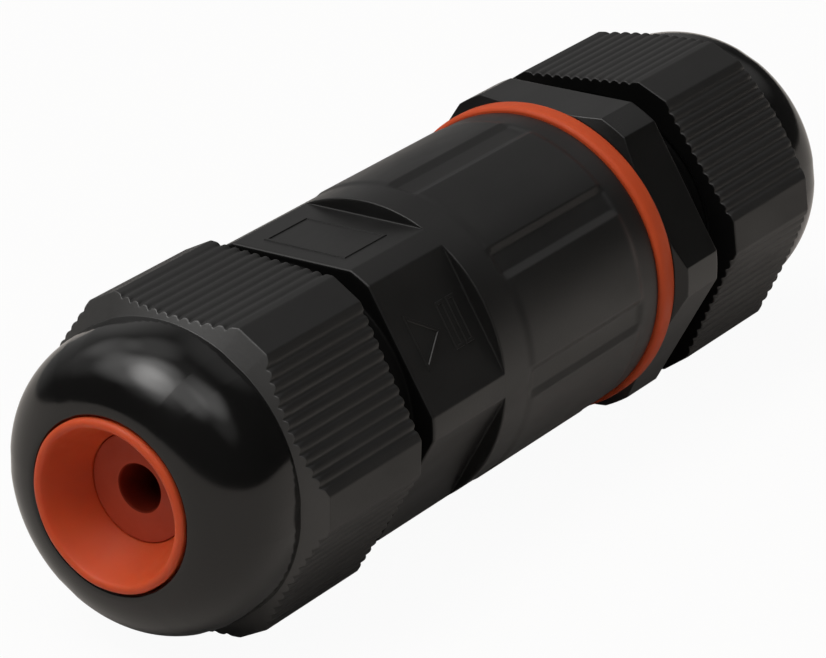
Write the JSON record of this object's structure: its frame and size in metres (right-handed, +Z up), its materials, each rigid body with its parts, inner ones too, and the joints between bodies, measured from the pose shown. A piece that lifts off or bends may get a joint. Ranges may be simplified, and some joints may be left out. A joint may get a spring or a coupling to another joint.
{
  "type": "inline socket connector",
  "caption": "Waterproof inline cable connector: barrel housing, screw-on rear half and a ribbed gland nut with a rubber cable seal at each end.",
  "frame": {"origin": "bottom centre of the bounding box, at the lowest point of the orange gasket, under the middle of the length", "axes": "+X along the cable axis towards the rear gland on the housing half that unscrews, -X towards the front gland, +Z up with a wrench flat up"},
  "size_m": [0.0992, 0.032, 0.0302],
  "materials": {
    "housing_plastic": "satin",
    "nut_plastic": "satin ribs, glossy nose",
    "cage_plastic": "satin",
    "seal_rubber": "matt silicone",
    "block_plastic": "matt",
    "terminal_brass": "turned",
    "screw_steel": "zinc plated"
  },
  "bodies": {
    "barrel": {"barrel_housing": "housing_plastic", "front_clamp_cage": "cage_plastic", "terminal_block": "block_plastic", "terminal_tube_1": "terminal_brass", "terminal_tube_2": "terminal_brass", "terminal_tube_3": "terminal_brass", "terminal_screw_1": "screw_steel", "terminal_screw_2": "screw_steel", "terminal_screw_3": "screw_steel", "terminal_screw_4": "screw_steel", "terminal_screw_5": "screw_steel", "terminal_screw_6": "screw_steel"},
    "front_seal": {"front_cable_seal": "seal_rubber", "front_seal_insert": "seal_rubber"},
    "front_nut": {"front_gland_nut": "nut_plastic"},
    "gasket": {"body_gasket": "seal_rubber"},
    "rear_half": {"rear_housing": "housing_plastic", "rear_clamp_cage": "cage_plastic"},
    "rear_seal": {"rear_cable_seal": "seal_rubber", "rear_seal_insert": "seal_rubber"},
    "rear_nut": {"rear_gland_nut": "nut_plastic"}
  },
  "joints": [
    {"name": "front_nut_travel", "type": "slide", "parent": "barrel", "child": "front_seal", "axis": [-1, 0, 0], "range_m": [0, 0.0075]},
    {"name": "front_nut_turn", "type": "hinge", "parent": "front_seal", "child": "front_nut", "pos_m": [-0.0377, 0, 0.0151], "axis": [-1, 0, 0], "range_deg": [0, 1800]},
    {"name": "rear_half_travel", "type": "slide", "parent": "barrel", "child": "gasket", "axis": [1, 0, 0], "range_m": [0, 0.0075]},
    {"name": "rear_half_turn", "type": "hinge", "parent": "gasket", "child": "rear_half", "pos_m": [0.0196, 0, 0.0151], "axis": [1, 0, 0], "range_deg": [0, 1800]},
    {"name": "rear_nut_travel", "type": "slide", "parent": "rear_half", "child": "rear_seal", "axis": [1, 0, 0], "range_m": [0, 0.0075]},
    {"name": "rear_nut_turn", "type": "hinge", "parent": "rear_seal", "child": "rear_nut", "pos_m": [0.0377, 0, 0.0151], "axis": [1, 0, 0], "range_deg": [0, 1800]}
  ],
  "couplings": [
    {"joint": "front_nut_travel", "follows": "front_nut_turn", "m_per_rad": 0.0002387},
    {"joint": "rear_half_travel", "follows": "rear_half_turn", "m_per_rad": 0.0002387},
    {"joint": "rear_nut_travel", "follows": "rear_nut_turn", "m_per_rad": 0.0002387}
  ]
}
